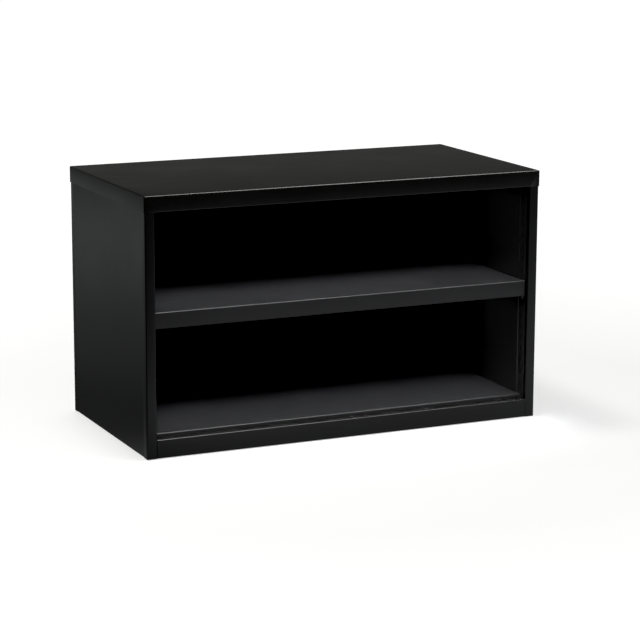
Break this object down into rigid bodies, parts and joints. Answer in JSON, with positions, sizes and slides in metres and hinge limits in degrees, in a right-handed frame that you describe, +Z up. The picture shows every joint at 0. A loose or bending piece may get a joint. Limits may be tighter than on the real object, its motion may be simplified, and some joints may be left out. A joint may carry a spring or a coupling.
{
  "type": "open storage cabinet",
  "caption": "Low, wide open storage cabinet in black sheet steel with a folded top cap, an adjustable shelf, a raised bottom shelf and levelling glides.",
  "frame": {"origin": "on the floor, under the middle of the cabinet's overall box", "axes": "+Z up, +X along the width to the right, the open front faces -Y"},
  "size_m": [0.914, 0.465, 0.551],
  "materials": {
    "case_paint": "black powder coat, fine satin texture",
    "shelf_paint": "black powder coat, fine satin texture",
    "zinc": "zinc plated",
    "black_zinc": "black zinc plated",
    "glide_plastic": "black moulded nylon"
  },
  "bodies": {
    "case": {"top_cap": "case_paint", "top_stiffener": "case_paint", "front_header": "case_paint", "rear_header": "case_paint", "left_side_panel": "case_paint", "right_side_panel": "case_paint", "left_liner": "case_paint", "right_liner": "case_paint", "left_front_upright": "case_paint", "right_front_upright": "case_paint", "left_rear_upright": "case_paint", "right_rear_upright": "case_paint", "back_panel": "case_paint", "base_front_rail": "case_paint", "base_rear_rail": "case_paint", "left_base_rail": "case_paint", "right_base_rail": "case_paint", "bottom_shelf": "case_paint", "bottom_shelf_stiffener": "case_paint", "left_front_shelf_clip": "zinc", "right_front_shelf_clip": "zinc", "left_rear_shelf_clip": "zinc", "right_rear_shelf_clip": "zinc", "left_front_glide_bracket": "case_paint", "right_front_glide_bracket": "case_paint", "left_rear_glide_bracket": "case_paint", "right_rear_glide_bracket": "case_paint", "left_front_glide_nut": "zinc", "right_front_glide_nut": "zinc", "left_rear_glide_nut": "zinc", "right_rear_glide_nut": "zinc", "back_panel_screws": "zinc", "cap_screws": "black_zinc"},
    "shelf": {"adjustable_shelf": "shelf_paint", "shelf_stiffener": "shelf_paint"},
    "left_front_foot": {"left_front_glide_foot": "glide_plastic"},
    "left_front_stem": {"left_front_glide_stem": "zinc"},
    "right_front_foot": {"right_front_glide_foot": "glide_plastic"},
    "right_front_stem": {"right_front_glide_stem": "zinc"},
    "left_rear_foot": {"left_rear_glide_foot": "glide_plastic"},
    "left_rear_stem": {"left_rear_glide_stem": "zinc"},
    "right_rear_foot": {"right_rear_glide_foot": "glide_plastic"},
    "right_rear_stem": {"right_rear_glide_stem": "zinc"}
  },
  "joints": [
    {"name": "shelf_lift", "type": "slide", "parent": "case", "child": "shelf", "axis": [0, 0, 1], "range_m": [0, 0.2]},
    {"name": "left_front_glide_drop", "type": "slide", "parent": "case", "child": "left_front_foot", "axis": [0, 0, -1], "range_m": [0, 0.015]},
    {"name": "left_front_glide_turn", "type": "hinge", "parent": "left_front_foot", "child": "left_front_stem", "pos_m": [-0.415, -0.187, 0.02], "axis": [0, 0, -1], "range_deg": [0, 4320]},
    {"name": "right_front_glide_drop", "type": "slide", "parent": "case", "child": "right_front_foot", "axis": [0, 0, -1], "range_m": [0, 0.015]},
    {"name": "right_front_glide_turn", "type": "hinge", "parent": "right_front_foot", "child": "right_front_stem", "pos_m": [0.415, -0.187, 0.02], "axis": [0, 0, -1], "range_deg": [0, 4320]},
    {"name": "left_rear_glide_drop", "type": "slide", "parent": "case", "child": "left_rear_foot", "axis": [0, 0, -1], "range_m": [0, 0.015]},
    {"name": "left_rear_glide_turn", "type": "hinge", "parent": "left_rear_foot", "child": "left_rear_stem", "pos_m": [-0.415, 0.187, 0.02], "axis": [0, 0, -1], "range_deg": [0, 4320]},
    {"name": "right_rear_glide_drop", "type": "slide", "parent": "case", "child": "right_rear_foot", "axis": [0, 0, -1], "range_m": [0, 0.015]},
    {"name": "right_rear_glide_turn", "type": "hinge", "parent": "right_rear_foot", "child": "right_rear_stem", "pos_m": [0.415, 0.187, 0.02], "axis": [0, 0, -1], "range_deg": [0, 4320]}
  ],
  "couplings": [
    {"joint": "left_front_glide_drop", "follows": "left_front_glide_turn", "m_per_rad": 0.00019894},
    {"joint": "right_front_glide_drop", "follows": "right_front_glide_turn", "m_per_rad": 0.00019894},
    {"joint": "left_rear_glide_drop", "follows": "left_rear_glide_turn", "m_per_rad": 0.00019894},
    {"joint": "right_rear_glide_drop", "follows": "right_rear_glide_turn", "m_per_rad": 0.00019894}
  ]
}
